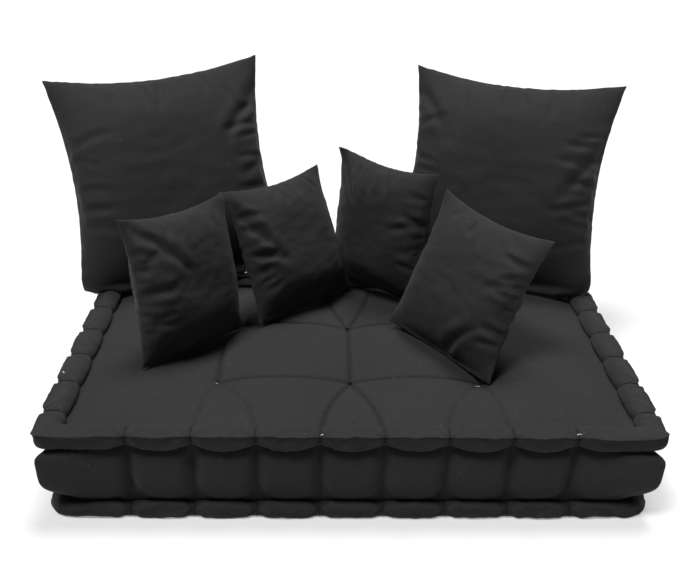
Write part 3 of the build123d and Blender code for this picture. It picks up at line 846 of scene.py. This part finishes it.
def shapeCushion(name, points, index, side):
    # Shapes the blown cushion in place
    c = cushions[name]
    fullerSides(points, index, c["cells"], side, c["sit"])
    thinSides(points, side, c["thickness"])
    points[:, 1] *= 1 - c["low"] * points[:, 2] / side * 2
    rng = random.Random(c["seed"])
    for start, end, depth, width in c["creases"]:
        crease(points, 1, start, end, depth, width, side, rng.randint(1, 99))
    for axis, edge, low, high, count in c["puckers"]:
        for k in range(count):
            at = low + (high - low) * (k + rng.uniform(0.2, 0.8)) / count
            inward = edge - copysign(rng.uniform(0.16, 0.42), edge)
            start, end = (edge, at), (inward, at + rng.uniform(-0.14, 0.14))
            if axis:
                start, end = start[::-1], end[::-1]
            face = 1 if rng.random() < 0.7 else -1
            crease(
                points, face, start, end, rng.uniform(0.0035, 0.0075),
                rng.uniform(0.0050, 0.0080), side, rng.randint(1, 99))
    full = np.clip(np.abs(points[:, 1]) / (c["thickness"] * 0.3), 0, 1)
    broad = softNoise(points, side * 0.22, c["seed"]) * 1.6
    fine = softNoise(points * (1, 1, 1.8), side * 0.09, c["seed"] + 1)
    points[:, 1] += np.sign(points[:, 1]) * (broad + fine) * stuffing["crumple"] * full
    for corner, reach, angle in c["ears"]:
        bendEar(points, corner, reach * side, angle)


def seat(piece):
    # Sinks the cushion until it rests on the cloth under it, and flattens it there
    s, found = stuffing, coords(piece)
    supports = [surface(mattressCover), surface(topRolledEdge)]
    floor = np.array([
        heightAt(supports, x, y, -1) if z <= s["highest"] else -1.0 for x, y, z in found])
    lowest = (found[:, 2] - floor)[floor > 0].min()
    drop = min(s["mostSink"], max(0, lowest - s["clear"] + s["sink"]))
    found[:, 2] -= drop
    rest = np.maximum(found[:, 2], floor + s["clear"])
    found[:, 2] = np.where(floor > 0, rest, found[:, 2])
    print(piece.name, "lowest gap", round(float(lowest), 4), "sunk by", round(float(drop), 4))
    setCoords(piece, found)


def makeCushion(name):
    c, s = cushions[name], stuffing
    turn, low, high = cushionPose(name)
    side = high[0] - low[0]
    middle = (low + high) / 2
    points, faces, loops, index = pillow(name, side)
    first, *others = name.split("_")
    label = first + "".join(word.title() for word in others) + "Cover"
    piece = meshObject(label, points * (1, s["flat"], 1), faces, loops)
    n = c["cells"]
    rubbed = np.zeros(len(points))
    for (face, i, j), k in index.items():
        rubbed[k] = exp(-min(i, j, n - i, n - j) / 0.7)
    paintRubAndShade(piece, rubbed)
    simulate(piece, [], {**s, "volume": c["volume"]})
    blown = coords(piece)
    blown = blown - (blown.min(0) + blown.max(0)) / 2
    size = blown.max(0) - blown.min(0)
    print(name, "came to", np.round(size, 3), "for a side of", round(side, 3))
    blown *= (side, c["thickness"], high[2] - low[2]) / size
    shapeCushion(name, blown, index, side)
    foot = np.array((0, 0, blown[:, 2].min()))
    grown = (blown - foot) * (c["grow"], 1, c["grow"]) + foot
    setCoords(piece, (grown + middle) @ turn.T + c["shift"])
    seat(piece)
    return piece


print("cushions")
cushionPieces = []
for name in cushions:
    made = makeCushion(name)
    cushionPieces.append(made)
    subdivide(made)
    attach(made, name)
    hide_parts(f"{name}_front_panel", f"{name}_back_panel", f"{name}_insert")


def plug(tree, node, inputs):
    # Links each socket that is given, and sets every other value
    for key, value in inputs.items():
        if isinstance(value, bpy.types.NodeSocket):
            tree.links.new(value, node.inputs[key])
        else:
            node.inputs[key].default_value = value
    return node


def addNode(tree, kind, inputs=None, **settings):
    node = tree.nodes.new(kind)
    for key, value in settings.items():
        setattr(node, key, value)
    return plug(tree, node, inputs or {})


def maths(tree, operation, *values):
    return addNode(tree, "ShaderNodeMath", dict(enumerate(values)), operation=operation).outputs[0]


def vectorMaths(tree, operation, inputs):
    return addNode(tree, "ShaderNodeVectorMath", inputs, operation=operation).outputs[0]


groups = {}


def newGroup(name, inputs, outputs, kind="ShaderNodeTree"):
    # inputs and outputs hold the kind of each named socket
    group = groups[name] = bpy.data.node_groups.new(name, kind)
    for way, sockets in (("INPUT", inputs), ("OUTPUT", outputs)):
        for label, held in sockets.items():
            group.interface.new_socket(label, in_out=way, socket_type="NodeSocket" + held)
    given, result = group.nodes.new("NodeGroupInput"), group.nodes.new("NodeGroupOutput")
    return group, given.outputs[:len(inputs)], result


def useGroup(tree, label, inputs):
    return addNode(tree, "ShaderNodeGroup", inputs, node_tree=groups[label])


def makeWeaveGroup():
    # Threads over and under each other, with thicker threads here and there
    group, (where, threads, slubs), result = newGroup(
        "weave", {"Vector": "Vector", "Threads": "Float", "Slubs": "Float"},
        {"Height": "Float", "Shade": "Float"})
    parts = addNode(group, "ShaderNodeSeparateXYZ", {0: where})
    turns = maths(group, "MULTIPLY", threads, pi)
    waves = [
        maths(group, "SINE", maths(group, "MULTIPLY", parts.outputs[k], turns)) for k in (0, 1)]
    plain = maths(group, "MULTIPLY_ADD", maths(group, "MULTIPLY", *waves), 0.5, 0.5)
    streaks = []
    for stretch in ((30.0, 900.0, 1.0), (900.0, 30.0, 1.0)):
        scaled = vectorMaths(group, "MULTIPLY", {0: where, 1: stretch})
        streaks.append(addNode(group, "ShaderNodeTexNoise", {
            "Vector": scaled, "Scale": 1.0, "Detail": 2.0, "Roughness": 0.6}).outputs[0])
    total = maths(group, "SUBTRACT", maths(group, "ADD", *streaks), 1.0)
    uneven = maths(group, "MULTIPLY", total, slubs)
    plug(group, result, {
        "Height": maths(group, "MULTIPLY_ADD", uneven, 0.9, plain),
        "Shade": maths(group, "MULTIPLY_ADD", uneven, 1.1, 0.5)})


def makeLintGroup():
    # Pale specks and short hairs of dust that black cloth picks up
    group, (where, scale, amount), result = newGroup(
        "lint", {"Vector": "Vector", "Scale": "Float", "Amount": "Float"}, {"Mask": "Float"})
    bent = addNode(group, "ShaderNodeTexNoise", {"Vector": where, "Scale": 60.0, "Detail": 2.0})
    shift = vectorMaths(group, "MULTIPLY", {0: bent.outputs["Color"], 1: (0.004, 0.004, 0.0)})
    moved = vectorMaths(group, "ADD", {0: where, 1: shift})
    specks = addNode(group, "ShaderNodeTexVoronoi", {"Vector": moved, "Scale": scale})
    near = maths(group, "LESS_THAN", specks.outputs["Distance"], 0.10)
    chosen = addNode(group, "ShaderNodeSeparateColor", {0: specks.outputs["Color"]})
    kept = maths(group, "GREATER_THAN", chosen.outputs[0], 0.93)
    mask = maths(group, "MULTIPLY", maths(group, "MULTIPLY", near, kept), amount)
    plug(group, result, {"Mask": mask})


def makeFadeRubAndShadeGroup():
    # Broad uneven fading, cloth rubbed paler along its sewn edges, and painted shade where the
    # edge value is below nought
    group, (where, scale, edge, rub), result = newGroup(
        "fade", {"Vector": "Vector", "Scale": "Float", "Edge": "Float", "Rub": "Float"},
        {"Value": "Float"})
    cloud = addNode(group, "ShaderNodeTexNoise", {
        "Vector": where, "Scale": scale, "Detail": 3.0, "Roughness": 0.55})
    broad = maths(group, "MULTIPLY_ADD", cloud.outputs[0], 0.5, 0.75)
    # Edge values below nought darken the colour: painted shade in creases, grooves and ties
    rubbed = maths(group, "ADD", maths(group, "MULTIPLY", edge, rub), broad)
    plug(group, result, {"Value": rubbed})


def paint(name, colour, roughness):
    material = bpy.data.materials.new(name)
    material.use_nodes = True
    shader = material.node_tree.nodes["Principled BSDF"]
    plug(material.node_tree, shader, {"Base Color": (*colour, 1), "Roughness": roughness})
    return material, material.node_tree, shader


# Materials: sizes in metres, and threads, specks and plies for each metre
cotton = {
    "colour": (0.0109, 0.0108, 0.0112), "lint": (0.16, 0.16, 0.155), "roughness": 0.82,
    "sheen": 0.040, "sheenRoughness": 0.45, "specular": 0.16, "threads": 1400.0,
    "specks": 150.0, "relief": 0.00022, "crumple": 0.0022, "fade": 5.0, "rub": 0.55,
}


def makeCotton():
    c = cotton
    material, tree, shader = paint("blackCotton", c["colour"], c["roughness"])
    cloth = addNode(tree, "ShaderNodeUVMap", uv_map="cloth").outputs[0]
    place = addNode(tree, "ShaderNodeTexCoord").outputs["Object"]
    edge = addNode(tree, "ShaderNodeAttribute", attribute_name="edge").outputs["Fac"]
    weave = useGroup(tree, "weave", {"Vector": cloth, "Threads": c["threads"], "Slubs": 1.0})
    lint = useGroup(tree, "lint", {"Vector": cloth, "Scale": c["specks"], "Amount": 0.8})
    # The fade lightens the colour where the cloth is rubbed and darkens it as painted shade in
    # creases, grooves and ties
    fade = useGroup(tree, "fade", {
        "Vector": place, "Scale": c["fade"], "Edge": edge, "Rub": c["rub"]})
    thread = weave.outputs["Shade"]
    shade = maths(
        tree, "MULTIPLY", fade.outputs[0], maths(tree, "MULTIPLY_ADD", thread, 0.5, 0.75))
    tint = vectorMaths(tree, "SCALE", {0: c["colour"], "Scale": shade})
    dusty = addNode(
        tree, "ShaderNodeMix", {0: lint.outputs[0], 6: tint, 7: (*c["lint"], 1)},
        data_type="RGBA")
    creases = addNode(tree, "ShaderNodeTexNoise", {
        "Vector": place, "Scale": 22.0, "Detail": 3.0, "Roughness": 0.5, "Distortion": 0.6})
    soft = addNode(tree, "ShaderNodeBump", {
        "Strength": 0.35, "Distance": c["crumple"], "Height": creases.outputs[0]})
    bump = addNode(tree, "ShaderNodeBump", {
        "Strength": 0.7, "Distance": c["relief"], "Height": weave.outputs["Height"],
        "Normal": soft.outputs[0]})
    plug(tree, shader, {
        "Base Color": dusty.outputs[2], "Normal": bump.outputs[0],
        "Roughness": maths(tree, "MULTIPLY_ADD", thread, -0.12, c["roughness"] + 0.06),
        "Sheen Weight": c["sheen"], "Sheen Roughness": c["sheenRoughness"],
        "Specular IOR Level": c["specular"]})
    return material


cords = {
    "twine": {
        "colour": (0.0045, 0.0045, 0.0045), "roughness": 0.8, "ply": 900.0, "sheen": 0.01,
        "specular": 0.10},
    "threadWhite": {
        "colour": (0.62, 0.61, 0.58), "roughness": 0.7, "ply": 2600.0, "sheen": 0.15,
        "specular": 0.40},
}


def makeCord(name):
    c = cords[name]
    material, tree, shader = paint(name, c["colour"], c["roughness"])
    cloth = addNode(tree, "ShaderNodeUVMap", uv_map="cloth").outputs[0]
    parts = addNode(tree, "ShaderNodeSeparateXYZ", {0: cloth})
    slant = maths(tree, "ADD", *parts.outputs[:2])
    ply = maths(tree, "SINE", maths(tree, "MULTIPLY", slant, c["ply"] * pi))
    height = maths(tree, "MULTIPLY_ADD", ply, 0.5, 0.5)
    # Painted shade: paler on the crests of the plies and darker in the grooves between them
    fade = useGroup(tree, "fade", {
        "Vector": cloth, "Scale": 60.0, "Edge": height, "Rub": 0.35}).outputs[0]
    bump = addNode(tree, "ShaderNodeBump", {
        "Strength": 0.6, "Distance": 0.0004, "Height": height})
    plug(tree, shader, {
        "Base Color": vectorMaths(tree, "SCALE", {0: c["colour"], "Scale": fade}),
        "Normal": bump.outputs[0], "Sheen Weight": c["sheen"],
        "Specular IOR Level": c["specular"]})
    return material


print("materials")
makeWeaveGroup()
makeLintGroup()
makeFadeRubAndShadeGroup()
blackCotton = makeCotton()
twine, threadWhite = makeCord("twine"), makeCord("threadWhite")
for piece in (mattressCover, topRolledEdge, bottomRolledEdge, *cushionPieces):
    piece.data.materials.append(blackCotton)
for piece in (edgeTies, tuftKnots):
    piece.data.materials.append(twine)

# Stitches: short lengths of the twine laid one after another along lines of each roll's mesh
stitches = {
    "sizes": {"Gap": 0.0052, "Length": 0.0034, "Radius": 0.00055}, "lift": 0.0003,
    "rows": {"topRolledEdge": (1, 6, 24), "bottomRolledEdge": (24, 1)},
}


def makeStitchTree():
    tree, (line, gap, length, radius, thread), result = newGroup(
        "stitchRow", {
            "Line": "Geometry", "Gap": "Float", "Length": "Float", "Radius": "Float",
            "Thread": "Material"},
        {"Stitches": "Geometry"}, "GeometryNodeTree")
    curve = addNode(tree, "GeometryNodeMeshToCurve", {0: line})
    even = addNode(
        tree, "GeometryNodeResampleCurve", {"Curve": curve.outputs[0], "Length": gap},
        mode="LENGTH")
    ball = addNode(
        tree, "GeometryNodeMeshUVSphere", {"Segments": 8, "Rings": 6, "Radius": 1.0})
    size = addNode(tree, "ShaderNodeCombineXYZ", {
        0: radius, 1: radius, 2: maths(tree, "MULTIPLY", length, 0.5)})
    ahead = addNode(tree, "GeometryNodeInputTangent")
    turn = addNode(
        tree, "FunctionNodeAlignRotationToVector", {"Vector": ahead.outputs[0]}, axis="Z")
    placed = addNode(tree, "GeometryNodeInstanceOnPoints", {
        "Points": even.outputs[0], "Instance": ball.outputs[0], "Rotation": turn.outputs[0],
        "Scale": size.outputs[0]})
    real = addNode(tree, "GeometryNodeRealizeInstances", {0: placed.outputs[0]})
    done = addNode(
        tree, "GeometryNodeSetMaterial", {"Geometry": real.outputs[0], "Material": thread})
    plug(tree, result, {0: done.outputs[0]})
    return tree


def makeStitches():
    tree = makeStitchTree()
    points, edges = [], []
    for roll, around in (
            (topRolledEdge, len(topSection)), (bottomRolledEdge, len(bottomSection))):
        raised = coords(roll) + readAll(roll.data.vertices, "normal") * stitches["lift"]
        count = rollCounts[roll.name]
        for k in stitches["rows"][roll.name]:
            base = len(points)
            points += [tuple(raised[i * around + k]) for i in range(count)]
            edges += [(base + i, base + (i + 1) % count) for i in range(count)]
    mesh = bpy.data.meshes.new("edgeStitches")
    mesh.from_pydata(points, edges, [])
    piece = addObject("edgeStitches", mesh)
    step = piece.modifiers.new("stitches", "NODES")
    step.node_group = tree
    given = {"Thread": twine, **stitches["sizes"]}
    for item in tree.interface.items_tree:
        if item.in_out == "INPUT" and item.name in given:
            step[item.identifier] = given[item.name]
    keepEvaluated(piece)
    loops = np.empty(len(piece.data.loops), dtype=np.int32)
    piece.data.loops.foreach_get("vertex_index", loops)
    x, y, z = coords(piece)[loops].T
    finishMesh(piece.data, np.c_[x + y, z])
    return piece


print("stitches")
edgeStitches = makeStitches()
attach(edgeStitches, "mattress")

# Loose ends of white thread that lie on the cloth: where each starts, its heading in
# degrees, its length and how much it curls
threads = {
    "radius": 0.00045, "sides": 6, "steps": 14, "arch": 0.0012, "places": (
        ((-0.279, -0.139), 20, 0.012, 1.6), ((0.2795, -0.128), 80, 0.020, 0.7),
        ((0.271, -0.150), 140, 0.010, 2.0), ((-0.590, -0.150), 60, 0.011, 1.5),
        ((0.4300, -0.387), 170, 0.010, 0.8), ((-0.060, -0.392), 10, 0.006, 0.6)),
}


def makeThreads():
    trees = [surface(mattressCover), surface(topRolledEdge)]
    rng, parts = random.Random(21), []
    for (x, y), heading, length, curl in threads["places"]:
        angle = radians(heading)
        line = []
        step = length / threads["steps"]
        for k in range(threads["steps"]):
            arch = threads["arch"] * sin(pi * k / threads["steps"])
            top = heightAt(trees, x, y, 0) + threads["radius"] * 0.9 + arch
            line.append(Vector((x, y, top)))
            angle += curl * step / length + rng.uniform(-0.15, 0.15)
            x += cos(angle) * step
            y += sin(angle) * step
        parts.append(tube(line, threads["radius"], threads["sides"]))
    return joined("threadEnds", parts)


threadEnds = makeThreads()
threadEnds.data.materials.append(threadWhite)
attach(threadEnds, "mattress")

# Studio: a white floor, a world that darkens upward, and a soft light from the front left
# and from behind, each with its place, strength and spread in degrees
studio = {
    "floor": 60.0, "white": 0.35, "roughness": 0.9, "glow": 0.29, "horizon": 1.00,
    "sky": 0.08, "fade": (0.09, 0.24),
    "lights": {"key": ((-1.1, -1.0, 3.4), 4.2, 20), "rim": ((0.4, 0.9, 3.4), 3.6, 24)},
}
white = (1, 1, 1, 1)


def makeStudio():
    s = studio
    size = s["floor"]
    floor = meshObject("floor", [
        (-size, -size, 0), (size, -size, 0), (size, size, 0), (-size, size, 0)], [(0, 1, 2, 3)])
    material, tree, shader = paint("floor", (s["white"],) * 3, s["roughness"])
    plug(tree, shader, {"Emission Color": white, "Emission Strength": s["glow"]})
    floor.data.materials.append(material)
    world = bpy.data.worlds.new("world")
    world.use_nodes = True
    scene.world = world
    tree = world.node_tree
    way = addNode(tree, "ShaderNodeTexCoord")
    parts = addNode(tree, "ShaderNodeSeparateXYZ", {0: way.outputs["Generated"]})
    high = addNode(tree, "ShaderNodeMapRange", {
        "Value": parts.outputs[2], "From Min": s["fade"][0], "From Max": s["fade"][1],
        "To Min": s["horizon"], "To Max": s["sky"]})
    plug(tree, tree.nodes["Background"], {"Color": white, "Strength": high.outputs[0]})
    for label, (place, strength, spread) in s["lights"].items():
        light = bpy.data.lights.new(label, "SUN")
        light.energy = strength
        light.angle = radians(spread)
        lamp = addObject(label, light)
        lamp.location = place
        lamp.rotation_euler = (-Vector(place)).to_track_quat("-Z", "Y").to_euler()
    scene.view_settings.view_transform = "Standard"


print("studio")
makeStudio()
